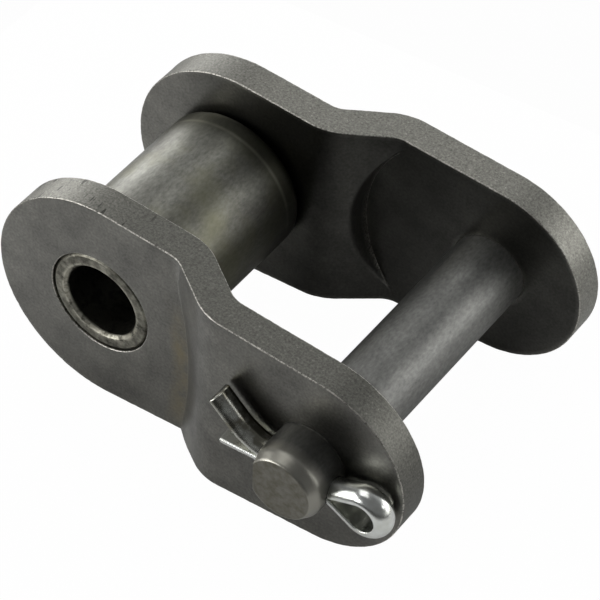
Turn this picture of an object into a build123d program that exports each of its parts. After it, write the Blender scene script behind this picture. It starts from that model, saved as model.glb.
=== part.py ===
from build123d import *
from math import asin, atan2, cos, hypot, radians, sin, tan
import os

# Offset (cranked) link of a 38.1 mm pitch single-strand roller chain.
# X runs from the bush axis to the pin axis, Y along both axes, Z is up.
# The origin is the centre of the bush bore. All sizes are in millimetres.

# Driving sizes of the chain
pitch = 38.1
roller_diameter = 22.23
pin_diameter = 11.1
bush_gap = 26.4
next_link_side_play = 0.8

# Sheet of the two cranked plates
plate_thickness = 4.8
bush_end_radius = 16.95
pin_end_radius = 14.5
crank_start = 13.7
crank_end = 21.9
bend_inside_radius = 3.8
bush_end_relief_reach = 14.65
bush_end_relief_radius = 80.0
bush_end_relief_slope = 47.0
pin_end_relief_radius = 20.0
plate_edge_break = 0.3

# Bush and roller
bush_wall = 2.37
bush_end_chamfer = 0.5
bush_recess = 0.1
roller_side_clearance = 0.35
roller_rim_radius = 1.2
roller_rim_chords = 3
roller_bore_chamfer = 0.6

# Connecting pin
pin_rear_stand_out = 1.4
pin_front_stand_out = 6.75
pin_front_taper_length = 1.5
pin_front_taper_depth = 0.85
pin_front_corner_radius = 0.35
pin_front_shoulder_radius = 1.6
pin_rear_chamfer = 0.8
pin_flat_depth = 1.55
pin_flat_overrun = 0.4

# Split pin, bent from half-round wire
cotter_diameter = 3.7
cotter_from_plate = 2.25
cotter_lean = 4.0
cotter_split_gap = 0.1
eye_inside_radius = 2.15
eye_centre_distance = 10.5
eye_neck_radius = 3.0
leg_bend_radius = 9.5
long_leg_angle = 39.0
long_leg_straight = 4.2
short_leg_angle = 8.0
short_leg_straight = 5.8

# Clearances, all on the radius
pin_running_clearance = 0.07
roller_running_clearance = 0.08
pin_slip_clearance = 0.04
cotter_hole_clearance = 0.15

# Sizes that follow from the ones above
pin_radius = pin_diameter / 2
roller_radius = roller_diameter / 2
bush_bore_radius = pin_radius + pin_running_clearance
bush_radius = bush_bore_radius + bush_wall
roller_bore_radius = bush_radius + roller_running_clearance
narrow_width = bush_gap + 2 * plate_thickness
pin_gap = narrow_width + 2 * next_link_side_play
wide_width = pin_gap + 2 * plate_thickness
bush_length = narrow_width - 2 * bush_recess
roller_length = bush_gap - 2 * roller_side_clearance
pin_flat_offset = pin_radius - pin_flat_depth
pin_front_end = -wide_width / 2 - pin_front_stand_out
pin_rear_end = wide_width / 2 + pin_rear_stand_out
cotter_radius = cotter_diameter / 2
cotter_hole_radius = cotter_radius + cotter_hole_clearance
cotter_y = -wide_width / 2 - cotter_from_plate

# Frames that stand the sketches up: sketch x is X, and sketch y is Y or Z
along_y = Plane(origin=(0, 0, 0), x_dir=(1, 0, 0), z_dir=(0, -1, 0))
pin_axis = Location((pitch, 0, 0))


def crank_line(outward):
    """Line of the bent sheet, seen from above, this far outside its middle surface."""
    narrow_y = (bush_gap + plate_thickness) / 2
    wide_y = (pin_gap + plate_thickness) / 2
    slope = atan2(wide_y - narrow_y, crank_end - crank_start)
    shift = outward * tan(slope / 2)
    middle_radius = bend_inside_radius + plate_thickness / 2
    return FilletPolyline(
        (-bush_end_radius - 1, narrow_y + outward),
        (crank_start - shift, narrow_y + outward),
        (crank_end - shift, wide_y + outward),
        (pitch + pin_end_radius + 1, wide_y + outward),
        radius=[middle_radius - outward, middle_radius + outward],
    )


def bent_sheet():
    """The bent strip that a plate is cut from, on the +Y side and tall enough for both ends."""
    inner = crank_line(-plate_thickness / 2)
    outer = crank_line(plate_thickness / 2)
    ends = [Line(inner @ 0, outer @ 0), Line(inner @ 1, outer @ 1)]
    section = make_face(Curve() + [inner, outer] + ends)
    return extrude(section, amount=bush_end_radius + 1, both=True)


def plate_outline():
    """Side view of a plate: a larger and a smaller round end joined by their tangents."""
    lean = asin((bush_end_radius - pin_end_radius) / pitch)
    big = [(bush_end_radius * sin(lean), side * bush_end_radius * cos(lean)) for side in (1, -1)]
    small = [
        (pitch + pin_end_radius * sin(lean), side * pin_end_radius * cos(lean)) for side in (1, -1)
    ]
    edges = [
        Line(big[0], small[0]),
        Line(big[1], small[1]),
        ThreePointArc(big[0], (-bush_end_radius, 0), big[1]),
        ThreePointArc(small[0], (pitch + pin_end_radius, 0), small[1]),
    ]
    return make_face(Curve() + edges)


def pin_axis_circle(radius):
    """Disc about the pin axis, in a sketch of the side view."""
    return Pos(pitch, 0) * Circle(radius)


def hole_through(sketch):
    """Prism of a hole's outline, long enough to pass any plate on the +Y side."""
    return extrude(along_y * sketch, amount=-wide_width)


def cranked_plate(pin_hole):
    """One plate on the +Y side, with its cut edges broken and the two holes pierced."""
    blank = bent_sheet() & extrude(along_y * plate_outline(), amount=-wide_width)
    cut_faces = [f for f in blank.faces() if abs(f.normal_at().Y) < 0.1]
    cut_edges = ShapeList([e for f in cut_faces for e in f.edges() if abs((e % 0.5).Y) < 0.9])
    blank = chamfer(cut_edges, plate_edge_break) - swing_reliefs()
    return blank - hole_through(Circle(bush_radius)) - hole_through(pin_hole)


def swing_reliefs():
    """Steps in the crank, where the ends of the neighbouring links swing past."""
    inner = extrude(along_y * pin_axis_circle(pin_end_relief_radius), amount=-pin_gap / 2)
    floor = narrow_width / 2
    top = wide_width / 2
    spread = (top - floor) / tan(radians(bush_end_relief_slope))
    wide_cone = turned(
        [
            (0, floor),
            (bush_end_relief_radius, floor),
            (bush_end_relief_radius + spread, top),
            (0, top),
        ]
    )
    return inner + Pos(bush_end_relief_reach - bush_end_relief_radius, 0, 0) * wide_cone


def keyed_section(radius, flat_offset):
    """Round section of the pin with one flat on the side of the bush."""
    flat = Pos(-flat_offset - radius, 0) * Rectangle(2 * radius, 3 * radius)
    return Pos(pitch, 0) * (Circle(radius) - flat)


def rear_plate():
    """Plate that the plain end of the pin is pressed into."""
    return cranked_plate(pin_axis_circle(pin_radius))


def front_plate():
    """Plate on the split pin's side, with a keyed slip hole for the flat of the pin."""
    slip = pin_slip_clearance
    keyed_hole = keyed_section(pin_radius + slip, pin_flat_offset + slip)
    return mirror(cranked_plate(keyed_hole), about=Plane.XZ)


def turned(points):
    """Solid turned about the Y axis from points given as radius and distance along Y."""
    section = make_face(Polyline(*points, close=True))
    return revolve(section, axis=Axis.Y)


def bushing():
    """Plain bush, chamfered inside and outside at both ends."""
    end = bush_length / 2
    tube = turned(
        [(bush_bore_radius, -end), (bush_radius, -end), (bush_radius, end), (bush_bore_radius, end)]
    )
    return chamfer(tube.edges().filter_by(GeomType.CIRCLE), bush_end_chamfer)


def rim_points(side):
    """Rounding of a roller's rim in short chords, from the end face to the running face."""
    wall = roller_radius - roller_bore_radius
    rim = min(roller_rim_radius, 0.4 * wall)
    turns = [radians(90) * step / roller_rim_chords for step in range(roller_rim_chords + 1)]
    return [
        (roller_radius - rim + rim * sin(turn), side * (roller_length / 2 - rim + rim * cos(turn)))
        for turn in turns
    ]


def roller():
    """Roller with rounded rims and a broken bore edge, free to turn on the bush."""
    end = roller_length / 2
    lead = roller_bore_radius + roller_bore_chamfer
    bore_end = end - roller_bore_chamfer
    bore = [(lead, end), (roller_bore_radius, bore_end), (roller_bore_radius, -bore_end), (lead, -end)]
    return turned(rim_points(-1) + rim_points(1)[::-1] + bore)


def connecting_pin():
    """Pin with a soft tapered nose, a keying flat and a cross hole at the front."""
    nose_and_side = FilletPolyline(
        (0, pin_front_end),
        (pin_radius - pin_front_taper_depth, pin_front_end),
        (pin_radius, pin_front_end + pin_front_taper_length),
        (pin_radius, pin_rear_end - pin_rear_chamfer),
        radius=[pin_front_corner_radius, pin_front_shoulder_radius],
    )
    rear_and_axis = Polyline(
        nose_and_side @ 1,
        (pin_radius - pin_rear_chamfer, pin_rear_end),
        (0, pin_rear_end),
        nose_and_side @ 0,
    )
    section = make_face(Curve() + [nose_and_side, rear_and_axis])
    body = pin_axis * revolve(section, axis=Axis.Y)
    flat_back = -pin_gap / 2 + pin_flat_overrun
    flat_length = flat_back - pin_front_end
    flat = Pos(pitch - pin_flat_offset - pin_flat_depth, (flat_back + pin_front_end) / 2, 0) * Box(
        2 * pin_flat_depth, flat_length, pin_diameter
    )
    cross_hole = cotter_plane() * Rot(0, 90, 0) * Cylinder(cotter_hole_radius, 2 * pin_diameter)
    return body - flat - cross_hole


def cotter_plane():
    """Plane of the split pin: x runs through the hole to the legs, and z is on the long leg's side."""
    lean = radians(cotter_lean)
    return Plane(
        origin=(pitch, cotter_y, 0), x_dir=(-cos(lean), 0, sin(lean)), z_dir=(sin(lean), 0, cos(lean))
    )


def strand(side, leg_angle, leg_straight, eye_tangent):
    """Flat face of one strand, from the tip of its leg through the hole to the eye."""
    angle = radians(leg_angle)
    half_gap = side * cotter_split_gap / 2
    tangent_length = leg_bend_radius * tan(angle / 2)
    corner = pin_flat_offset + cotter_hole_clearance + tangent_length
    reach = tangent_length + leg_straight
    tip = (corner + reach * cos(angle), half_gap + side * reach * sin(angle))
    return FilletPolyline(
        tip,
        (corner, half_gap),
        (-pin_radius, half_gap),
        (eye_tangent[0], side * eye_tangent[1]),
        radius=[leg_bend_radius, eye_neck_radius],
    )


def cotter_pin():
    """Split pin of half-round wire: a teardrop eye, a doubled shank and two spread legs."""
    half_gap = cotter_split_gap / 2
    reach = eye_centre_distance - pin_radius
    neck = asin(eye_inside_radius / hypot(reach, half_gap)) - atan2(half_gap, reach)
    eye_tangent = (
        -eye_centre_distance + eye_inside_radius * sin(neck),
        eye_inside_radius * cos(neck),
    )
    long_strand = strand(1, long_leg_angle, long_leg_straight, eye_tangent)
    short_strand = strand(-1, short_leg_angle, short_leg_straight, eye_tangent)
    eye_end = (-eye_centre_distance - eye_inside_radius, 0)
    eye = ThreePointArc(long_strand @ 1, eye_end, short_strand @ 1)
    route = Wire((Plane.XZ * (Curve() + [long_strand, eye, short_strand])).edges())
    half_round = Circle(cotter_radius) - Pos(0, -cotter_radius) * Rectangle(
        2 * cotter_diameter, 2 * cotter_radius
    )
    start = Plane(origin=route @ 0, x_dir=(0, -1, 0), z_dir=route % 0)
    return cotter_plane() * sweep(start * half_round, path=route)


parts = {
    "front_plate": front_plate(),
    "rear_plate": rear_plate(),
    "bushing": bushing(),
    "roller": roller(),
    "connecting_pin": connecting_pin(),
    "cotter_pin": cotter_pin(),
}

os.makedirs("parts", exist_ok=True)
for name, solid in parts.items():
    export_step(solid, f"parts/{name}.step")
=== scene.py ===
import math

import bmesh
import bpy
from mathutils import Matrix, Vector, noise
from mathutils.geometry import delaunay_2d_cdt


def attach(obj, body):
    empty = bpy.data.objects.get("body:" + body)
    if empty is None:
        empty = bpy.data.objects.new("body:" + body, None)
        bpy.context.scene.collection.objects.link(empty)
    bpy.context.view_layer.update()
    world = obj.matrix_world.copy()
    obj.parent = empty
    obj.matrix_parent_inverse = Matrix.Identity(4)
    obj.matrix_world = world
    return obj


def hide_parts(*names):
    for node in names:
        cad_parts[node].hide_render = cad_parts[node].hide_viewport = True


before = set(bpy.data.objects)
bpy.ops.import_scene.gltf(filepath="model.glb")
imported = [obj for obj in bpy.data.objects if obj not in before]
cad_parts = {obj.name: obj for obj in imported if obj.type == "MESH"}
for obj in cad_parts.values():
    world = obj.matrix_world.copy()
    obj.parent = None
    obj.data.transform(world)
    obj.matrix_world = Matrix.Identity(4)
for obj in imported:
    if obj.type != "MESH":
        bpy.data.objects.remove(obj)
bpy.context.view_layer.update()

# Offset link of a roller chain. X runs from the bush to the pin, Y along both, Z is up.
# Sizes of the object are in millimetres and become metres where a mesh is made.
MM = 0.001

# Plates
pitch = 38.1
plate_thickness = 4.8
bush_end_radius = 16.95
pin_end_radius = 14.5
narrow_gap = 26.4
wide_gap = 37.6
crank_start = 13.7
crank_end = 21.9
bend_inside_radius = 3.8
cut_edge_radius = 0.17
hole_edge_radius = 0.15

# Reliefs that clear the neighbouring links' ends: outside at the bush end, inside at the pin end
bush_end_relief_reach = 14.8
bush_end_relief_radius = 60.0
bush_end_relief_drop = -4.0
bush_end_relief_slope = math.radians(47)
bush_end_relief_softness = 0.9
pin_end_relief_radius = 20.0
pin_end_relief_slope = math.radians(84)
pin_end_relief_softness = 3.0

# Unevenness that pressing, cutting and tumbling leave on the plates. A change of an edge's radius is a share
# of it and how often it comes in a millimetre. A shift keeps one pattern from following another.
face_wave_depth = 0.012
face_waves_per_mm = 0.16
outer_face_wave_shift = 40
wall_hollow_depth = 0.03
wall_hollows_per_mm = 1.3
edge_radius_changes = [(0.4, 0.9), (0.2, 2.3)]
least_edge_radius_share = 0.4
nicks_per_mm = 1.7
nick_shift = (9, 4, 2)
nick_threshold = 0.45
nick_growth = 2.0
most_border_share = 0.8

# Wear with a painted highlight, and stain, along the outer and the inner crease, where True is the outer one
crease_wear_and_highlight = {True: 0.25, False: 0.5}
crease_fade = {True: 0.6, False: 0.15}
crease_least_rise = 0.2
crease_tolerance = 0.01
stain_before_crease = 1.2
stain_half_width = 1.8
stain_middle_height = -4.0
stain_half_length = 13.0

# Painted shade on the cut edges of the front plate, -1, and the rear plate, 1, and where it changes along X
edge_painted_shade_at_bush_end = {-1: 0.35, 1: 0.75}
edge_painted_shade_past_it = {-1: 0.95, 1: 0.05}
edge_painted_shade_change = (-5.0, 5.0)

# Painted shade on the faces, inside the link between the plates and low on the outer faces, with the places
# at which it begins and is at its most
inner_face_painted_shade_along = (-14.0, 0.0)
low_face_painted_shade = 0.45
low_face_painted_shade_down = (-2.0, -14.0)
low_face_painted_shade_along = (12.0, 2.0)

# How finely the plates' skin is cut
face_border = 0.75
face_mesh_step = 0.42
border_mesh_step = 0.3
edge_steps = 5
wall_steps = 12
relief_walls_along = (11.0, 24.5)
ring_clearance = 0.2
ring_margin = 0.25
grid_clearance = 0.32

# Bush and roller
bush_bore_radius = 5.62
bush_radius = 7.99
bush_half_length = 17.9
bush_end_chamfer = 0.5
bush_edge_radius = 0.12
roller_bore_radius = 8.07
roller_radius = 11.115
roller_half_length = 12.85
roller_rim_radius = 1.2
roller_bore_chamfer = 0.6
roller_edge_radius = 0.1

# Connecting pin
pin_radius = 5.55
pin_front_end = -30.35
pin_rear_end = 25.0
pin_front_taper_length = 1.5
pin_front_taper_depth = 0.85
pin_front_corner_radius = 0.35
pin_front_shoulder_radius = 1.6
pin_rear_chamfer = 0.8
pin_rear_edge_radius = 0.15
pin_flat_offset = 4.0
pin_flat_back = -18.4
pin_flat_edge_radius = 0.3
pin_slip = 0.04
slip_hole_corner_radius = 0.15

# Split pin
wire_radius = 1.85
wire_edge_radius = 0.2
wire_end_break = 0.12
cotter_hole_radius = 2.0
cotter_y = -25.85
cotter_lean = math.radians(4)
cotter_half_gap = 0.05
eye_inside_radius = 2.15
eye_centre_distance = 10.5
eye_neck_radius = 3.0
leg_bend_radius = 9.5
long_leg_angle = math.radians(39)
long_leg_straight = 4.2
short_leg_angle = math.radians(8)
short_leg_straight = 5.8

# How finely the round pieces and holes are cut
bush_segments = 128
bush_step = 0.35
roller_segments = 192
roller_step = 0.5
pin_segments = 120
pin_step = 0.25
bush_hole_segments = 150
slip_hole_segments = 110
wire_segments = 64
wire_step = 0.15
eye_steps = 96
drill_segments = 64

# Sheet of paper under the link, from the bush's axis, and the table that it lies on
paper_left = -62.0
paper_right = 125.0
paper_front = -66.0
paper_back = 66.0
paper_thickness = 0.3
table_reach = 1500.0

# Camera
camera_place = (172.920, -234.027, 287.141)
camera_azimuth = math.radians(33.13685)
camera_elevation = math.radians(45.94597)
camera_roll = math.radians(-2.81739)
camera_lens = 178.97
camera_sensor = 36.0

# Sizes that follow from the ones above
narrow_middle = (narrow_gap + plate_thickness) / 2
wide_middle = (wide_gap + plate_thickness) / 2
crank_slope = math.atan2(wide_middle - narrow_middle, crank_end - crank_start)
middle_bend_radius = bend_inside_radius + plate_thickness / 2
flank_lean = math.asin((bush_end_radius - pin_end_radius) / pitch)

# Distances past a relief's edge at which rings of the skin follow it, closest on the steep inner wall
outer_relief_rings = [-0.15, 0.0, 0.15, 0.35]
inner_relief_rings = [-0.1, *(0.05 * i for i in range(9)), 0.55, 0.75]
relief_rings = {True: outer_relief_rings, False: inner_relief_rings}


# Materials


def srgb(code):
    """Linear colour of an sRGB hex code."""
    channels = [int(code[i : i + 2], 16) / 255 for i in (1, 3, 5)]
    return [c / 12.92 if c <= 0.04045 else ((c + 0.055) / 1.055) ** 2.4 for c in channels] + [1.0]


def add_node(tree, kind, inputs=None, **settings):
    """Adds a node with its settings; an input is a value or another node's output."""
    node = tree.nodes.new(kind)
    for name, value in settings.items():
        setattr(node, name, value)
    for socket, value in (inputs or {}).items():
        if isinstance(value, bpy.types.NodeSocket):
            tree.links.new(value, node.inputs[socket])
        else:
            node.inputs[socket].default_value = value
    return node


def per_metre(feature_mm):
    """Scale of a texture whose features are about this many millimetres across."""
    return 1 / (feature_mm * MM)


def coat(tree, tone, colour, *limits, most=1.0):
    """Lays a colour over a tone where every value has gone from its start to its end.

    Each limit holds a value, its start and its end. The limits' shares are multiplied, and most is the top.
    """
    share = most
    for value, start, end in limits:
        span = {"Value": value, "From Min": start, "From Max": end, "To Max": share}
        share = add_node(tree, "ShaderNodeMapRange", span).outputs["Result"]
    return add_node(tree, "ShaderNodeMix", {0: share, 6: tone, 7: colour}, data_type="RGBA").outputs[2]


def steel_patterns(name, dark, light, rough, cloud_mm, grain_mm, grain_share, along=1.0):
    """Begins a satin steel in two tones, with clouds that change its shine and a fine grain in its tone.

    The rough pair is for light and for dark clouds, and along is how drawn out all of it is along Y.
    The real grain is too fine to show at this size, so it is drawn as coarse as it needs to be seen.
    """
    material = bpy.data.materials.new(name)
    material.use_nodes = True
    tree = material.node_tree
    tree.nodes.clear()
    place = add_node(tree, "ShaderNodeTexCoord").outputs["Object"]
    axes = add_node(tree, "ShaderNodeSeparateXYZ", {"Vector": place}).outputs
    drawn = add_node(tree, "ShaderNodeMapping", {"Vector": place, "Scale": (1, 1 / along, 1)}).outputs[0]
    clouds = {"Vector": drawn, "Scale": per_metre(cloud_mm), "Detail": 6.0, "Roughness": 0.62}
    cloud = add_node(tree, "ShaderNodeTexNoise", clouds).outputs["Fac"]
    grains = {"Vector": drawn, "Scale": per_metre(grain_mm), "Detail": 3.0, "Roughness": 0.6}
    grain = add_node(tree, "ShaderNodeTexNoise", grains).outputs["Fac"]
    tone = coat(tree, srgb(dark), srgb(light), (cloud, 0.3, 0.7))
    spread = {"From Min": 0.25, "From Max": 0.75, "To Min": 1 - grain_share, "To Max": 1 + grain_share}
    shade = add_node(tree, "ShaderNodeMapRange", {"Value": grain, **spread}, clamp=False).outputs["Result"]
    tones = {0: 1.0, 6: tone, 7: shade}
    tone = add_node(tree, "ShaderNodeMix", tones, data_type="RGBA", blend_type="MULTIPLY").outputs[2]
    shine = {"Value": cloud, "From Min": 0.3, "From Max": 0.7, "To Min": rough[1], "To Max": rough[0]}
    roughness = add_node(tree, "ShaderNodeMapRange", shine).outputs["Result"]
    patterns = {"material": material, "place": place, "axes": axes, "cloud": cloud, "grain": grain}
    return tree, patterns, tone, roughness


def finished_steel(tree, patterns, tone, roughness, grain_depth):
    """Ends a steel with its metal shader, the grain standing out of it by this depth in metres."""
    relief = {"Height": patterns["grain"], "Distance": grain_depth, "Strength": 1.0}
    bump = add_node(tree, "ShaderNodeBump", relief).outputs["Normal"]
    look = {"Base Color": tone, "Metallic": 1.0, "Roughness": roughness, "Normal": bump}
    shader = add_node(tree, "ShaderNodeBsdfPrincipled", look).outputs["BSDF"]
    add_node(tree, "ShaderNodeOutputMaterial", {"Surface": shader})
    return patterns["material"]


def oiled_plate_steel():
    """Blanked, hardened, tumbled, oiled plate: dark satin faces, grainy cut edges with a few painted glints,
    painted shade inside the link, low on the outer faces and on the cut edges, and corners worn bright and
    lightened in part as a painted highlight.
    """
    speck_mm = 0.3
    scratch_mm = 0.7
    scratch_turn = 0.6
    scratch_stretch = 5.0
    scratched_along = (9.0, 5.0)
    scratched_across = (-5.0, -8.0)
    face_grain_depth_mm = 0.005
    cut_grain_depth_mm = 0.02
    cut_roughness = 0.5
    pit_black = srgb("#2c2b28")
    tree, patterns, tone, roughness = steel_patterns(
        "oiled_plate_steel",
        "#686763",
        "#82817b",
        rough=(0.28, 0.36),
        cloud_mm=5.0,
        grain_mm=0.4,
        grain_share=0.28,
    )
    place = patterns["place"]
    shares = {}
    for title in ("cut", "edge", "stain", "oily"):
        shares[title] = add_node(tree, "ShaderNodeAttribute", attribute_name=title).outputs["Fac"]
    specks = {"Vector": place, "Scale": per_metre(speck_mm), "Detail": 3.0, "Roughness": 0.7}
    speck = add_node(tree, "ShaderNodeTexNoise", specks).outputs["Fac"]

    # Broken grains of the cut edge: most are a shade lighter or darker, and a few are painted pale as glints
    cut_tone = coat(tree, srgb("#6a6963"), srgb("#9e9d95"), (speck, 0.3, 0.7))
    cut_tone = coat(tree, cut_tone, srgb("#c4c1b8"), (speck, 0.67, 0.73))
    tone = coat(tree, tone, cut_tone, (shares["cut"], 0, 1))

    # Pits, a few and dark
    tone = coat(tree, tone, pit_black, (speck, 0.28, 0.25))

    # Short scratches slanting across the cut edge of the front plate's bush end, dark with oil
    slant = {"Vector": place, "Rotation": (0, 0, scratch_turn), "Scale": (1, 1 / scratch_stretch, 1)}
    slanting = add_node(tree, "ShaderNodeMapping", slant).outputs["Vector"]
    streaks = {"Vector": slanting, "Scale": per_metre(scratch_mm), "Detail": 1.0}
    streak = add_node(tree, "ShaderNodeTexNoise", streaks).outputs["Fac"]
    tone = coat(
        tree,
        tone,
        pit_black,
        (streak, 0.63, 0.68),
        (shares["cut"], 0, 1),
        (patterns["axes"]["X"], scratched_along[0] * MM, scratched_along[1] * MM),
        (patterns["axes"]["Y"], scratched_across[0] * MM, scratched_across[1] * MM),
        most=0.7,
    )

    # Painted shade: darker inside the link between the plates, on the cut edges and low on the outer faces
    tone = coat(tree, tone, srgb("#32322f"), (shares["oily"], 0, 1), most=0.5)

    # Dried oil along the crease, in patches
    dried = [(shares["stain"], 0, 1), (patterns["cloud"], 0.36, 0.6)]
    tone = coat(tree, tone, srgb("#857b60"), *dried, most=0.85)

    # Corners and creases rubbed bright, unevenly, and lightened in part as a painted highlight
    tone = coat(tree, tone, srgb("#cfccc3"), (speck, 0.38, 0.58), (shares["edge"], 0, 1))

    # Cut edges are duller and rougher than faces
    dull = {"Value": shares["cut"], "To Min": roughness, "To Max": cut_roughness}
    roughness = add_node(tree, "ShaderNodeMapRange", dull).outputs["Result"]
    depths = {"Value": shares["cut"], "To Min": face_grain_depth_mm * MM, "To Max": cut_grain_depth_mm * MM}
    grain_depth = add_node(tree, "ShaderNodeMapRange", depths).outputs["Result"]
    return finished_steel(tree, patterns, tone, roughness, grain_depth)


def turned_roller_steel():
    """Turned and tumbled roller: hazy satin drawn out along it, olive oil film, painted shade towards its
    far rim, a faint painted highlight line by its rim.
    """
    film_mm = 9.0
    roller_painted_shade_along = (3.0, 10.5)
    line_y = 9.8
    line_half_width = (0.4, 0.05)
    grain_depth_mm = 0.006
    tree, patterns, tone, roughness = steel_patterns(
        "turned_roller_steel",
        "#676660",
        "#7d7d76",
        rough=(0.40, 0.45),
        cloud_mm=3.2,
        grain_mm=0.42,
        grain_share=0.3,
        along=2.0,
    )
    y = patterns["axes"]["Y"]

    # Olive film in patches, and painted shade that darkens it towards the far rim, beside the rear plate
    films = {"Vector": patterns["place"], "Scale": per_metre(film_mm), "Detail": 3.0}
    film = add_node(tree, "ShaderNodeTexNoise", films).outputs["Fac"]
    tone = coat(tree, tone, srgb("#7c7b63"), (film, 0.42, 0.66), most=0.6)
    tone = coat(tree, tone, srgb("#42423a"), (y, roller_painted_shade_along[0] * MM, roller_painted_shade_along[1] * MM), most=0.7)

    # Painted highlight: a faint light line round the roller by its rim, broken up by the film
    offset = add_node(tree, "ShaderNodeMath", {0: y, 1: line_y * MM}, operation="SUBTRACT").outputs[0]
    away = add_node(tree, "ShaderNodeMath", {0: offset}, operation="ABSOLUTE").outputs[0]
    on_line = (away, line_half_width[0] * MM, line_half_width[1] * MM)
    tone = coat(tree, tone, srgb("#a3a292"), on_line, (film, 0.36, 0.54), most=0.35)
    return finished_steel(tree, patterns, tone, roughness, grain_depth_mm * MM)


def ground_pin_steel():
    """Hardened pin, centreless ground: an even, fine satin, rubbed bright and lightened by a painted
    highlight round its olive-stained nose.
    """
    plate_front = -wide_gap / 2 - plate_thickness
    darker_part_edge = 0.1
    rubbed_painted_highlight_start = (pin_front_end + 3.6) * MM
    rubbed_painted_highlight_end = (pin_front_end + 1.0) * MM
    stain_start = (pin_front_end + 0.06) * MM
    stain_end = (pin_front_end + 0.01) * MM
    mottle_mm = 1.1
    rubbed_roughness = 0.36
    grain_depth_mm = 0.006
    tree, patterns, tone, roughness = steel_patterns(
        "ground_pin_steel",
        "#7a7a77",
        "#898985",
        rough=(0.50, 0.55),
        cloud_mm=3.0,
        grain_mm=0.4,
        grain_share=0.25,
        along=2.0,
    )
    y = patterns["axes"]["Y"]

    # Darker where it stands out of the front plate
    tone = coat(tree, tone, srgb("#3a3a36"), (y, plate_front * MM, (plate_front - darker_part_edge) * MM), most=0.6)

    # Shoulder of the nose, rubbed bright and smooth, its lighter tone partly a painted highlight
    tone = coat(tree, tone, srgb("#9c9a91"), (y, rubbed_painted_highlight_start, rubbed_painted_highlight_end))
    rubbing = {"Value": y, "From Min": rubbed_painted_highlight_start, "From Max": rubbed_painted_highlight_end}
    shine = {"To Min": roughness, "To Max": rubbed_roughness}
    roughness = add_node(tree, "ShaderNodeMapRange", {**rubbing, **shine}).outputs["Result"]

    # Face of the nose, mottled with olive film
    mottles = {"Vector": patterns["place"], "Scale": per_metre(mottle_mm), "Detail": 4.0, "Roughness": 0.6}
    mottle = add_node(tree, "ShaderNodeTexNoise", mottles).outputs["Fac"]
    film = coat(tree, srgb("#69665a"), srgb("#807e76"), (mottle, 0.35, 0.65))
    tone = coat(tree, tone, film, (y, stain_start, stain_end))
    return finished_steel(tree, patterns, tone, roughness, grain_depth_mm * MM)


def faced_bush_steel():
    """Faced and tumbled bush: an end with pale scuffs on a darker, mottled ground, lightened at the inner
    corner in part as a painted highlight, round a bore darkened as painted shade.
    """
    rubbed_highlight_ring = ((bush_bore_radius + 0.9) * MM, (bush_bore_radius + 0.6) * MM)
    painted_shade_bore = ((bush_bore_radius + 0.2) * MM, (bush_bore_radius + 0.05) * MM)
    grain_depth_mm = 0.012
    tree, patterns, tone, roughness = steel_patterns(
        "faced_bush_steel",
        "#35332c",
        "#98968a",
        rough=(0.34, 0.50),
        cloud_mm=1.5,
        grain_mm=0.3,
        grain_share=0.2,
    )
    across = {0: patterns["place"], 1: (1, 0, 1)}
    spoke = add_node(tree, "ShaderNodeVectorMath", across, operation="MULTIPLY").outputs[0]
    radius = add_node(tree, "ShaderNodeVectorMath", {0: spoke}, operation="LENGTH").outputs["Value"]

    # Inner corner scuffed bright in patches, lightened in part as a painted highlight
    scuffs = [(radius, *rubbed_highlight_ring), (patterns["cloud"], 0.4, 0.55)]
    tone = coat(tree, tone, srgb("#b3b0a2"), *scuffs, most=0.9)

    # Bore, darkened as painted shade
    tone = coat(tree, tone, srgb("#1f1f1c"), (radius, *painted_shade_bore), most=0.8)
    return finished_steel(tree, patterns, tone, roughness, grain_depth_mm * MM)


def zinc_plated_wire():
    """Half-round wire, bright zinc plated: clear reflections over fine draw marks, its long leg darkened in
    olive as a painted dark reflection.
    """
    dark_reflection_up = (0.2 * MM, 2.0 * MM)
    dark_reflection_along = ((pitch - 3) * MM, (pitch - 5) * MM)
    dark_reflection_back = {"From Min": (cotter_y + 0.3) * MM, "From Max": (cotter_y + 0.9) * MM}
    grain_depth_mm = 0.003
    tree, patterns, tone, roughness = steel_patterns(
        "zinc_plated_wire",
        "#d6d8cf",
        "#f4f6f4",
        rough=(0.19, 0.28),
        cloud_mm=2.4,
        grain_mm=0.2,
        grain_share=0.03,
    )
    axes = patterns["axes"]

    # Painted dark reflection in olive on the long leg, in patches on its front and all over its back
    patches = {"Value": patterns["cloud"], "From Min": 0.28, "From Max": 0.55, "To Max": 0.85}
    patchy = add_node(tree, "ShaderNodeMapRange", patches).outputs["Result"]
    behind = add_node(tree, "ShaderNodeMapRange", {"Value": axes["Y"], **dark_reflection_back}).outputs["Result"]
    oily = add_node(tree, "ShaderNodeMath", {0: patchy, 1: behind}, operation="MAXIMUM").outputs[0]
    leg = [(axes["Z"], *dark_reflection_up), (axes["X"], *dark_reflection_along)]
    tone = coat(tree, tone, srgb("#5f5a44"), *leg, (oily, 0, 1))
    return finished_steel(tree, patterns, tone, roughness, grain_depth_mm * MM)


# Lines, rings and meshes


def climb(value, start, end):
    """Share from 0 to 1 as a value goes from start to end."""
    return min(max((value - start) / (end - start), 0), 1)


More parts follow.
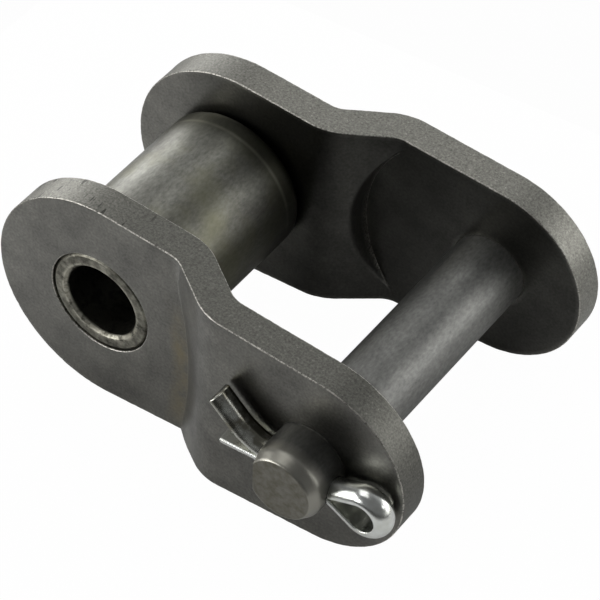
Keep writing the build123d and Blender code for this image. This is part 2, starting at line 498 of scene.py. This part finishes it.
def rounded_line(points, radii, step):
    """Points along a line whose inner corners are rounded, with no gap over this step."""
    places = [Vector(points[0])]
    for before, corner, after, radius in zip(points, points[1:], points[2:], radii):
        corner = Vector(corner)
        back = (Vector(before) - corner).normalized()
        ahead = (Vector(after) - corner).normalized()
        if radius <= 0:
            places.append(corner)
            continue
        half = back.angle(ahead) / 2
        start = corner + back * (radius / math.tan(half))
        centre = corner + (back + ahead).normalized() * (radius / math.sin(half))
        sweep = math.pi - 2 * half
        turn = -math.copysign(1, back.cross(ahead))
        count = max(2, math.ceil(radius * sweep / step))
        spoke = start - centre
        for i in range(count + 1):
            places.append(centre + Matrix.Rotation(turn * sweep * i / count, 2) @ spoke)
    places.append(Vector(points[-1]))
    filled = [places[0]]
    for place in places[1:]:
        gap = place - filled[-1]
        count = max(1, math.ceil(gap.length / step))
        origin = filled[-1].copy()
        filled += [origin + gap * (i / count) for i in range(1, count + 1)]
    return filled


def spoke_way(angle):
    """Direction at this angle from the first axis."""
    return Vector((math.cos(angle), math.sin(angle)))


def keyed_loop(radius, flat, corner, arc_steps, flat_steps=20, corner_steps=5):
    """Places and outward directions round a circle with a flat on the first axis's negative side."""
    across = corner - flat
    side = math.sqrt(max((radius - corner) ** 2 - across**2, 0))
    start = math.atan2(side, across)
    loop = []
    for i in range(arc_steps + 1):
        way = spoke_way(-start + 2 * start * i / arc_steps)
        loop.append((way * radius, way))
    for i in range(1, corner_steps + 1):
        way = spoke_way(start + (math.pi - start) * i / corner_steps)
        loop.append((Vector((across, side)) + way * corner, way))
    for i in range(1, flat_steps + 1):
        loop.append((Vector((-flat, side - 2 * side * i / flat_steps)), Vector((-1, 0))))
    for i in range(1, corner_steps):
        way = spoke_way(math.pi + (math.pi - start) * i / corner_steps)
        loop.append((Vector((across, -side)) + way * corner, way))
    return loop


def round_loop(radius, steps):
    """Places and outward directions round a circle."""
    ways = [spoke_way(2 * math.pi * i / steps) for i in range(steps)]
    return [(way * radius, way) for way in ways]


def band(first, second, count):
    """Quads between two rings of vertices that start at these numbers."""
    return [(first + i, first + (i + 1) % count, second + (i + 1) % count, second + i) for i in range(count)]


def cap(places, first, count, middle):
    """Triangles from a ring of places to a place added in its middle."""
    places.append(middle)
    return [(len(places) - 1, first + i, first + (i + 1) % count) for i in range(count)]


def closed_mesh(name, places, faces):
    """Mesh from places in millimetres, with its faces turned outwards."""
    mesh = bpy.data.meshes.new(name)
    mesh.from_pydata([Vector(place) * MM for place in places], [], faces)
    shell = bmesh.new()
    shell.from_mesh(mesh)
    bmesh.ops.recalc_face_normals(shell, faces=shell.faces)
    shell.to_mesh(mesh)
    shell.free()
    return mesh


def add_object(name, data):
    """Object that shows a mesh, a lamp or a camera, linked to the scene."""
    thing = bpy.data.objects.new(name, data)
    bpy.context.scene.collection.objects.link(thing)
    return thing


def make_piece(name, places, faces, material, body, node, shares=None, sharp_angle=40):
    """Mesh piece that stands for a CAD node, on its body. Shares are values kept at each place."""
    mesh = closed_mesh(name, places, faces)
    for title, values in (shares or {}).items():
        mesh.attributes.new(title, "FLOAT", "POINT").data.foreach_set("value", values)
    mesh.shade_smooth()
    mesh.set_sharp_from_angle(angle=math.radians(sharp_angle))
    mesh.materials.append(material)
    piece = add_object(name, mesh)
    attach(piece, body)
    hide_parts(node)
    return piece


# Plates


def crank(x, outward):
    """Distance of the bent sheet from the middle plane, this far outside its middle surface."""
    half_turn = math.tan(crank_slope / 2)
    low = narrow_middle + outward
    high = wide_middle + outward
    first = middle_bend_radius - outward
    second = middle_bend_radius + outward
    corner = crank_start - outward * half_turn
    start = corner - first * half_turn
    end = crank_end - outward * half_turn + second * half_turn
    if x <= start:
        return low
    if x >= end:
        return high
    if x < start + first * math.sin(crank_slope):
        return low + first - math.sqrt(first**2 - (x - start) ** 2)
    if x > end - second * math.sin(crank_slope):
        return high - second + math.sqrt(second**2 - (end - x) ** 2)
    return low + (x - corner) * math.tan(crank_slope)


def past_relief(x, z, outer):
    """How far a point lies beyond the edge of a relief's floor, on its way up the relief's wall."""
    if outer:
        centre = bush_end_relief_reach - bush_end_relief_radius
        return math.hypot(x - centre, z - bush_end_relief_drop) - bush_end_relief_radius
    return math.hypot(x - pitch, z) - pin_end_relief_radius


def lower_height(sheet, wall, softness):
    """The lower of the sheet's and the relief wall's height, rounded where they cross."""
    overlap = max(softness - abs(sheet - wall), 0)
    return max(min(sheet, wall) - overlap**2 / (4 * softness), 0)


def plate_face(x, z, outer):
    """Distance of a plate's outer or inner face from the middle plane, with its bends and its relief."""
    half = plate_thickness / 2
    wave = face_wave_depth * noise.noise(Vector((x, z, outer_face_wave_shift * outer)) * face_waves_per_mm)
    past = past_relief(x, z, outer)
    if outer:
        floor = narrow_middle + half
        wall = past * math.tan(bush_end_relief_slope)
        return wave + floor + lower_height(crank(x, half) - floor, wall, bush_end_relief_softness)
    floor = wide_middle - half
    wall = past * math.tan(pin_end_relief_slope)
    return wave + floor - lower_height(floor - crank(x, -half), wall, pin_end_relief_softness)


def crease_share(x, z, outer):
    """Wear and painted highlight along the line where a relief's wall rises from its floor, fading up that
    wall.
    """
    half = plate_thickness / 2
    rise = crank(x, half) - narrow_middle - half if outer else wide_middle - half - crank(x, -half)
    past = past_relief(x, z, outer)
    if rise < crease_least_rise or past < -crease_tolerance:
        return 0.0
    return max(0.0, 1 - past / crease_fade[outer])


def depth_inside(x, z):
    """How far a point of the side view lies inside the plate's outline."""
    lean_sin = math.sin(flank_lean)
    lean_cos = math.cos(flank_lean)
    along = lean_cos * x - lean_sin * abs(z)
    if along < 0:
        return bush_end_radius - math.hypot(x, z)
    if along > lean_cos * pitch:
        return pin_end_radius - math.hypot(x - pitch, z)
    return bush_end_radius - lean_cos * abs(z) - lean_sin * x


def outline_loop():
    """Places and outward directions round the plate's side view."""
    loop = []
    quarter = math.pi / 2
    turns = [(0, bush_end_radius, quarter - flank_lean, 3 * quarter + flank_lean)]
    turns.append((pitch, pin_end_radius, -quarter + flank_lean, quarter - flank_lean))
    flank = pitch * math.cos(flank_lean)
    for centre, radius, start, end in turns:
        steps = round(radius * (end - start) / border_mesh_step)
        for i in range(steps + 1):
            way = spoke_way(start + (end - start) * i / steps)
            loop.append((Vector((centre, 0)) + way * radius, way))
        corner, leave_way = loop[-1]
        heading = Vector((-leave_way.y, leave_way.x))
        steps = round(flank / border_mesh_step)
        for i in range(1, steps):
            loop.append((corner + heading * (flank * i / steps), leave_way))
    return loop


def edge_softness(place, size):
    """Radius of a broken edge at this place, uneven as tumbling leaves it, with a few small nicks."""
    spot = Vector((place.x, place.y, 0))
    uneven = 1 + sum(share * noise.noise(spot * per_mm) for share, per_mm in edge_radius_changes)
    nick = max(noise.noise(spot * nicks_per_mm + Vector(nick_shift)) - nick_threshold, 0)
    share = max(uneven, least_edge_radius_share) + nick_growth * nick
    return min(size * share, most_border_share * face_border)


def stain_at(place):
    """Strength of the olive oil stain that lies along the crank's crease, on the side of the bush."""
    before = -past_relief(place.x, place.y, True)
    across = (before - stain_before_crease) / stain_half_width
    down = (place.y - stain_middle_height) / stain_half_length
    return max(0, 1 - across**2) * max(0, 1 - down**2)


class PlateSkin:
    """Mesh of a plate while it is put together, with shares of cut, edge, stain and painted shade at each
    place.
    """

    def __init__(self, side):
        self.side = side
        self.places = []
        self.faces = []
        self.shares = {"cut": [], "edge": [], "stain": [], "oily": []}

    def add(self, x, y, z, **shares):
        """Adds a place, given for the plate on the +Y side, and returns its number."""
        self.places.append((x, self.side * y, z))
        for title, values in self.shares.items():
            values.append(shares.get(title, 0.0))
        return len(self.places) - 1

    def edge_painted_shade(self, x):
        """Painted shade on a cut edge: darkest on the front plate past its bush end."""
        past = climb(x, *edge_painted_shade_change)
        return edge_painted_shade_at_bush_end[self.side] * (1 - past) + edge_painted_shade_past_it[self.side] * past

    def add_face_place(self, spot, outer):
        """Adds a place on the plate's outer or inner face and returns its number."""
        stain = stain_at(spot) if outer else 0.0
        edge = crease_wear_and_highlight[outer] * crease_share(spot.x, spot.y, outer)
        # Painted shade: on the inner face it grows towards the pin end, on the outer face it grows low down
        oily = climb(spot.x, *inner_face_painted_shade_along)
        if outer:
            oily = low_face_painted_shade * climb(spot.y, *low_face_painted_shade_down) * climb(spot.x, *low_face_painted_shade_along)
        y = plate_face(spot.x, spot.y, outer)
        return self.add(spot.x, y, spot.y, stain=stain, edge=edge, oily=oily)


def broken_corner(skin, loop, softness, outer):
    """Rings from a cut wall over its broken corner to a face, and the numbers of both ends' rings."""
    starts = []
    for step in range(edge_steps + 1):
        turn = math.pi / 2 * step / edge_steps
        starts.append(len(skin.places))
        for base, way in loop:
            soft = edge_softness(base, softness)
            spot = base - way * (soft * (1 - math.cos(turn)))
            drop = soft * (1 - math.sin(turn))
            y = plate_face(spot.x, spot.y, outer)
            y += -drop if outer else drop
            cut = math.cos(turn)
            # Painted shade on the cut edge, fading round the corner onto the face
            # The broken corner is lightened most halfway round, as rubbed wear and painted highlight
            skin.add(spot.x, y, spot.y, cut=cut, edge=math.sin(2 * turn), oily=cut * skin.edge_painted_shade(spot.x))
    starts.append(len(skin.places))
    for base, way in loop:
        skin.add_face_place(base - way * face_border, outer)
    for first, second in zip(starts, starts[1:]):
        skin.faces += band(first, second, len(loop))
    return starts[0], range(starts[-1], starts[-1] + len(loop))


def cut_wall(skin, loop, first, last):
    """Slightly uneven rings down a cut wall, from its ring at one face to its ring at the other."""
    previous = first
    for step in range(1, wall_steps):
        start = len(skin.places)
        for i, (_, way) in enumerate(loop):
            spot = Vector(skin.places[first + i]).lerp(Vector(skin.places[last + i]), step / wall_steps)
            hollow = wall_hollow_depth * abs(noise.noise(spot * wall_hollows_per_mm))
            x = spot.x - way.x * hollow
            z = spot.z - way.y * hollow
            # Painted shade down the cut wall, as much as on the edge
            skin.add(x, skin.side * spot.y, z, cut=1.0, oily=skin.edge_painted_shade(x))
        skin.faces += band(previous, start, len(loop))
        previous = start
    skin.faces += band(previous, last, len(loop))


def in_crank(x):
    """Whether a relief's wall can show at this distance along the plate."""
    return relief_walls_along[0] < x < relief_walls_along[1]


def wall_spots(outer):
    """Places round the edge and the wall of a relief, close enough to keep both of its corners."""
    centre = Vector((pitch, 0))
    radius = pin_end_relief_radius
    middle = math.pi
    if outer:
        centre = Vector((bush_end_relief_reach - bush_end_relief_radius, bush_end_relief_drop))
        radius = bush_end_relief_radius
        middle = 0
    spots = []
    steps = round(radius * math.pi / border_mesh_step)
    for i in range(steps + 1):
        way = spoke_way(middle + math.pi * (i / steps - 0.5))
        spots += [centre + way * (radius + past) for past in relief_rings[outer]]
    clear = face_border + ring_clearance
    return [spot for spot in spots if in_crank(spot.x) and depth_inside(spot.x, spot.y) > clear]


def grid_spots(outer):
    """Staggered places over a face, clear of its borders and of the relief's wall."""
    spots = []
    clear = face_border + grid_clearance
    low = relief_rings[outer][0] - ring_margin
    high = relief_rings[outer][-1] + ring_margin
    for column in range(math.ceil((pitch + bush_end_radius + pin_end_radius) / face_mesh_step)):
        for row in range(math.ceil(2 * bush_end_radius / face_mesh_step)):
            x = -bush_end_radius + column * face_mesh_step
            spot = Vector((x, -bush_end_radius + (row + 0.5 * (column % 2)) * face_mesh_step))
            if depth_inside(spot.x, spot.y) < clear or spot.length < bush_radius + clear:
                continue
            if (spot - Vector((pitch, 0))).length < pin_radius + clear:
                continue
            if in_crank(x) and low < past_relief(spot.x, spot.y, outer) < high:
                continue
            spots.append(spot)
    return spots


def fill_face(skin, borders, outer):
    """Triangles over a face, inside the border of its outline and outside those of its holes."""
    numbers = [number for border in borders for number in border]
    owners = [border for border in borders for number in border]
    flat = [Vector((skin.places[number][0], skin.places[number][2])) for number in numbers]
    for spot in wall_spots(outer) + grid_spots(outer):
        numbers.append(skin.add_face_place(spot, outer))
        owners.append(None)
        flat.append(spot)
    made = delaunay_2d_cdt(flat, [], [], 0, 1e-6)
    for corners in made[2]:
        picked = [made[3][corner][0] for corner in corners]
        owner = owners[picked[0]]
        if owner is None or any(owners[i] is not owner for i in picked):
            skin.faces.append([numbers[i] for i in picked])


def plate(name, side, pin_hole, material):
    """One cranked plate: two relieved faces, a grainy cut edge all round and two pierced holes."""
    bush_hole = [(place, -way) for place, way in round_loop(bush_radius, bush_hole_segments)]
    pin_hole = [(place + Vector((pitch, 0)), -way) for place, way in pin_hole]
    skin = PlateSkin(side)
    borders = {True: [], False: []}
    cuts = [(outline_loop(), cut_edge_radius), (bush_hole, hole_edge_radius), (pin_hole, hole_edge_radius)]
    for loop, softness in cuts:
        walls = []
        for outer in (True, False):
            wall, border = broken_corner(skin, loop, softness, outer)
            walls.append(wall)
            borders[outer].append(border)
        cut_wall(skin, loop, *walls)
    for outer in (True, False):
        fill_face(skin, borders[outer], outer)
    title = "pressed_" + name
    return make_piece(title, skin.places, skin.faces, material, "link", name, skin.shares)


# Bush, roller and connecting pin


def revolve(profile, segments):
    """Places and quads of a closed profile, given as radius and distance along Y, turned about Y."""
    places = []
    faces = []
    for radius, y in profile:
        places += [(place.x, y, place.y) for place, _ in round_loop(radius, segments)]
    for i in range(len(profile)):
        faces += band(i * segments, (i + 1) % len(profile) * segments, segments)
    return places, faces


def bush(material):
    """Pressed bush, with its ends chamfered inside and out and slightly rounded by tumbling."""
    end = bush_half_length
    chamfer = bush_end_chamfer
    corners = []
    for side in (1, -1):
        ring = [
            (bush_bore_radius, side * (end - chamfer)),
            (bush_bore_radius + chamfer, side * end),
            (bush_radius - chamfer, side * end),
            (bush_radius, side * (end - chamfer)),
        ]
        corners += ring[::side]
    corners = corners + [corners[0]]
    profile = rounded_line(corners, [bush_edge_radius] * (len(corners) - 2), bush_step)[:-1]
    places, faces = revolve(profile, bush_segments)
    return make_piece("pressed_bush", places, faces, material, "link", "bushing")


def roller(material):
    """Turned roller with rounded rims and a broken bore edge."""
    end = roller_half_length
    lead = roller_bore_radius + roller_bore_chamfer
    corners = [
        (roller_bore_radius, 0),
        (roller_bore_radius, end - roller_bore_chamfer),
        (lead, end),
        (roller_radius, end),
        (roller_radius, -end),
        (lead, -end),
        (roller_bore_radius, -end + roller_bore_chamfer),
        (roller_bore_radius, 0),
    ]
    edges = [roller_edge_radius] * 2
    profile = rounded_line(corners, edges + [roller_rim_radius] * 2 + edges, roller_step)[:-1]
    places, faces = revolve(profile, roller_segments)
    return make_piece("turned_roller", places, faces, material, "roller", "roller")


def connecting_pin(material):
    """Ground pin with a soft nose, its keying flat and the hole for the split pin."""
    corners = [
        (0, pin_front_end),
        (pin_radius - pin_front_taper_depth, pin_front_end),
        (pin_radius, pin_front_end + pin_front_taper_length),
        (pin_radius, pin_rear_end - pin_rear_chamfer),
        (pin_radius - pin_rear_chamfer, pin_rear_end),
        (0, pin_rear_end),
    ]
    radii = [pin_front_corner_radius, pin_front_shoulder_radius, pin_rear_edge_radius, pin_rear_edge_radius]
    profile = rounded_line(corners, radii, pin_step)[1:-1]
    model = keyed_loop(pin_radius, pin_flat_offset, pin_flat_edge_radius, pin_segments)
    model = [place for place, _ in model]
    ways = [place.normalized() for place in model]
    rings = []
    for radius, y in profile:
        if y < pin_flat_back and radius > pin_flat_offset:
            loop = keyed_loop(radius, pin_flat_offset, pin_flat_edge_radius, pin_segments)
            rings.append(([place for place, _ in loop], y))
            keyed_rings = len(rings)
        else:
            rings.append(([way * radius for way in ways], y))
    round_model = [way * pin_radius for way in ways]
    rings[keyed_rings:keyed_rings] = [(model, pin_flat_back), (round_model, pin_flat_back)]
    places = [(pitch + spot.x, y, spot.y) for loop, y in rings for spot in loop]
    count = len(ways)
    faces = []
    for i in range(len(rings) - 1):
        faces += band(i * count, (i + 1) * count, count)
    faces += cap(places, 0, count, (pitch, pin_front_end, 0))
    faces += cap(places, (len(rings) - 1) * count, count, (pitch, pin_rear_end, 0))
    piece = make_piece("ground_pin", places, faces, material, "link", "connecting_pin")
    drill(piece)
    return piece


def cotter_place(u, v, w):
    """Place of a point given along the split pin, across its legs, and towards the viewer's side."""
    lean_sin = math.sin(cotter_lean)
    lean_cos = math.cos(cotter_lean)
    return Vector((pitch - u * lean_cos + v * lean_sin, cotter_y - w, u * lean_sin + v * lean_cos))


def drill(piece):
    """Cuts the split pin's hole through the connecting pin."""
    count = drill_segments
    places = []
    for u in (-2 * pin_radius, 2 * pin_radius):
        places += [cotter_place(u, place.x, place.y) for place, _ in round_loop(cotter_hole_radius, count)]
    faces = band(0, count, count) + [list(range(count)), list(range(count, 2 * count))]
    cutter = add_object("drill", closed_mesh("drill", places, faces))
    cut = piece.modifiers.new("cross_hole", "BOOLEAN")
    cut.object = cutter
    cut.operation = "DIFFERENCE"
    cut.solver = "EXACT"
    graph = bpy.context.evaluated_depsgraph_get()
    drilled = bpy.data.meshes.new_from_object(piece.evaluated_get(graph))
    piece.modifiers.clear()
    piece.data = drilled
    drilled.shade_smooth()
    drilled.set_sharp_from_angle(angle=math.radians(35))
    bpy.data.objects.remove(cutter)


# Split pin


def strand(side, leg_angle, leg_straight, eye_tangent):
    """Line of one strand's flat face, from the tip of its leg through the hole to the eye."""
    half_gap = side * cotter_half_gap
    tangent = leg_bend_radius * math.tan(leg_angle / 2)
    corner = pin_flat_offset + cotter_hole_radius - wire_radius + tangent
    reach = tangent + leg_straight
    tip = (corner + reach * math.cos(leg_angle), half_gap + side * reach * math.sin(leg_angle))
    points = [tip, (corner, half_gap), (-pin_radius, half_gap), (eye_tangent[0], side * eye_tangent[1])]
    return rounded_line(points, [leg_bend_radius, eye_neck_radius], wire_step)


def split_pin_line():
    """Line of the wire's flat face, from the long leg's tip round the eye to the short leg's tip."""
    reach = eye_centre_distance - pin_radius
    neck = math.asin(eye_inside_radius / math.hypot(reach, cotter_half_gap))
    neck -= math.atan2(cotter_half_gap, reach)
    start = math.pi / 2 - neck
    eye_centre = Vector((-eye_centre_distance, 0))
    eye_tangent = eye_centre + spoke_way(start) * eye_inside_radius
    line = strand(1, long_leg_angle, long_leg_straight, eye_tangent)
    sweep = 2 * (math.pi - start)
    for i in range(1, eye_steps):
        line.append(eye_centre + spoke_way(start + sweep * i / eye_steps) * eye_inside_radius)
    return line + strand(-1, short_leg_angle, short_leg_straight, eye_tangent)[::-1]


def split_pin(material):
    """Bright split pin bent from half-round wire: a teardrop eye, a doubled shank and two spread legs."""
    line = split_pin_line()
    section = keyed_loop(wire_radius, 0, wire_edge_radius, wire_segments)
    count = len(section)
    places = []
    for i, spot in enumerate(line):
        ahead = (line[min(i + 1, len(line) - 1)] - line[max(i - 1, 0)]).normalized()
        outward = Vector((ahead.y, -ahead.x))
        rings = [(0.0, 0.0)]
        if i == 0:
            rings = [(wire_end_break, 0.0), (0.0, wire_end_break)]
        if i == len(line) - 1:
            rings = [(0.0, -wire_end_break), (wire_end_break, 0.0)]
        for inset, shift in rings:
            for place, way in section:
                out = place - way * inset
                flat = spot + outward * out.x + ahead * shift
                places.append(cotter_place(flat.x, flat.y, out.y))
    rows = len(places) // count
    faces = []
    for i in range(rows - 1):
        faces += band(i * count, (i + 1) * count, count)
    faces.append(list(range(count)))
    faces.append(list(range((rows - 1) * count, rows * count)))
    return make_piece("split_pin", places, faces, material, "link", "cotter_pin", sharp_angle=50)


# Camera, lamps and floor


def facing(direction, up):
    """Rotation that points an object's -Z along a direction, with its Y near up."""
    back = -Vector(direction).normalized()
    right = Vector(up).cross(back).normalized()
    return Matrix((right, back.cross(right), back)).transposed().to_4x4()


def add_camera():
    """Long lens above the split pin's side, as in the photograph."""
    lens = bpy.data.cameras.new("camera")
    lens.lens = camera_lens
    lens.sensor_width = camera_sensor
    camera = add_object("camera", lens)
    side = Vector((math.cos(camera_azimuth), math.sin(camera_azimuth), 0))
    level = Vector((-side.y, side.x, 0))
    view = level * math.cos(camera_elevation) - Vector((0, 0, math.sin(camera_elevation)))
    up = side.cross(view) * math.cos(camera_roll) + side * math.sin(camera_roll)
    camera.matrix_world = Matrix.Translation(Vector(camera_place) * MM) @ facing(view, up)
    bpy.context.scene.camera = camera


def softbox(name, direction, distance, width, height, brightness):
    """Area light that faces the link from this direction, with the stated brightness of its surface."""
    light = bpy.data.lights.new(name + "_softbox", "AREA")
    light.shape = "RECTANGLE"
    light.size = width
    light.size_y = height
    light.energy = brightness * math.pi * width * height
    lamp = add_object(name + "_softbox", light)
    way = Vector(direction).normalized()
    middle = Vector((pitch / 2, 0, 0)) * MM
    lamp.matrix_world = Matrix.Translation(middle + way * distance) @ facing(-way, (0, 0, 1))


def floor_material(name, colour):
    """Matt floor that lights the link in its own colour and is seen by the camera as white.

    The white is just short of full, so that the floor keeps the object's shadow.
    """
    white_share = 0.985
    material = bpy.data.materials.new(name)
    material.use_nodes = True
    tree = material.node_tree
    tree.nodes.clear()
    matt = add_node(tree, "ShaderNodeBsdfDiffuse", {"Color": srgb(colour)}).outputs["BSDF"]
    glow = add_node(tree, "ShaderNodeEmission", {"Color": (1, 1, 1, 1), "Strength": 1.0}).outputs["Emission"]
    ray = add_node(tree, "ShaderNodeLightPath").outputs["Is Camera Ray"]
    share = add_node(tree, "ShaderNodeMath", {0: ray, 1: white_share}, operation="MULTIPLY").outputs[0]
    mix = add_node(tree, "ShaderNodeMixShader", {0: share, 1: matt, 2: glow}).outputs[0]
    add_node(tree, "ShaderNodeOutputMaterial", {"Surface": mix})
    return material


def add_sheet(name, material, left, right, front, back, drop=0.0):
    """Sheet on the plane that the link's two round ends stand on, or this far under it."""
    along = Vector((math.cos(flank_lean), 0, math.sin(flank_lean)))
    down = Vector((math.sin(flank_lean), 0, -math.cos(flank_lean)))
    corners = []
    for x, y in ((left, front), (right, front), (right, back), (left, back)):
        corners.append((down * (bush_end_radius + drop) + along * x + Vector((0, y, 0))) * MM)
    mesh = bpy.data.meshes.new(name)
    mesh.from_pydata(corners, [], [(0, 1, 2, 3)])
    mesh.materials.append(material)
    sheet = add_object(name, mesh)


def add_floor():
    """Sheet of white paper on a dark table: the metal mirrors the paper near it and the table beyond."""
    paper = floor_material("white_paper", "#f4f4f4")
    table = floor_material("dark_matt_table", "#3a3a3a")
    reach = table_reach
    add_sheet("paper_sheet", paper, paper_left, paper_right, paper_front, paper_back)
    add_sheet("dark_table", table, -reach, reach, -reach, reach, drop=paper_thickness)


def add_world():
    """Surroundings that are pale behind the link and dim on the camera's side, and white to the camera."""
    dim_level = 0.15
    pale_level = 0.4
    world = bpy.data.worlds.new("studio")
    bpy.context.scene.world = world
    world.use_nodes = True
    tree = world.node_tree
    tree.nodes.clear()
    white = add_node(tree, "ShaderNodeBackground", {"Color": (1, 1, 1, 1), "Strength": 1.0}).outputs[0]
    way = add_node(tree, "ShaderNodeTexCoord").outputs["Generated"]
    towards_back = add_node(tree, "ShaderNodeSeparateXYZ", {"Vector": way}).outputs["Y"]
    levels = {"From Min": 0.0, "From Max": 0.5, "To Min": dim_level, "To Max": pale_level}
    level = add_node(tree, "ShaderNodeMapRange", {"Value": towards_back, **levels}).outputs["Result"]
    soft = add_node(tree, "ShaderNodeBackground", {"Color": srgb("#f4f6f8"), "Strength": level}).outputs[0]
    ray = add_node(tree, "ShaderNodeLightPath").outputs["Is Camera Ray"]
    mix = add_node(tree, "ShaderNodeMixShader", {0: ray, 1: soft, 2: white}).outputs[0]
    add_node(tree, "ShaderNodeOutputWorld", {"Surface": mix})


def add_softboxes():
    """Lamps round the link, placed for what its metal mirrors towards the camera, in metres."""
    # Behind the link, for the cut edges and the long highlights on roller and pin
    softbox("left_back", (-0.80, 0.55, 0.12), distance=0.5, width=0.45, height=0.2, brightness=3.7)
    softbox("high_left", (-0.75, 0.45, 0.55), distance=0.5, width=0.35, height=0.25, brightness=0.4)
    softbox("right_back", (0.70, 0.58, 0.36), distance=0.5, width=0.4, height=0.3, brightness=1.3)
    softbox("low_right_back", (0.80, 0.58, 0.10), distance=0.5, width=0.5, height=0.25, brightness=1.5)
    softbox("low_back", (-0.10, 0.98, 0.15), distance=0.55, width=0.4, height=0.2, brightness=1.9)
    softbox("high_back", (-0.17, 0.58, 0.80), distance=0.55, width=0.15, height=0.15, brightness=2.2)
    softbox("overhead", (-0.38, -0.12, 0.92), distance=0.6, width=0.5, height=0.35, brightness=1.2)

    # In front and to the right, for the plate faces, the pin's nose and the split pin
    softbox("left_front", (-0.80, -0.55, 0.25), distance=0.55, width=0.35, height=0.25, brightness=3.4)
    softbox("low_front", (-0.60, -0.80, 0.12), distance=0.55, width=0.35, height=0.15, brightness=5.6)
    softbox("low_right", (0.96, 0.04, 0.08), distance=0.5, width=0.3, height=0.15, brightness=0.6)
    softbox("small_right", (0.83, 0.05, 0.49), distance=0.55, width=0.1, height=0.1, brightness=2.4)


def build_link():
    """The six pieces, each over its own CAD node."""
    plate_steel = oiled_plate_steel()
    slip_radius = pin_radius + pin_slip
    slip_flat = pin_flat_offset + pin_slip
    slip_hole = keyed_loop(slip_radius, slip_flat, slip_hole_corner_radius, slip_hole_segments)
    plate("front_plate", -1, slip_hole, plate_steel)
    plate("rear_plate", 1, round_loop(pin_radius, pin_segments), plate_steel)
    bush(faced_bush_steel())
    roller(turned_roller_steel())
    connecting_pin(ground_pin_steel())
    split_pin(zinc_plated_wire())


build_link()
add_floor()
add_world()
add_softboxes()
add_camera()
bpy.context.scene.view_settings.view_transform = "Standard"
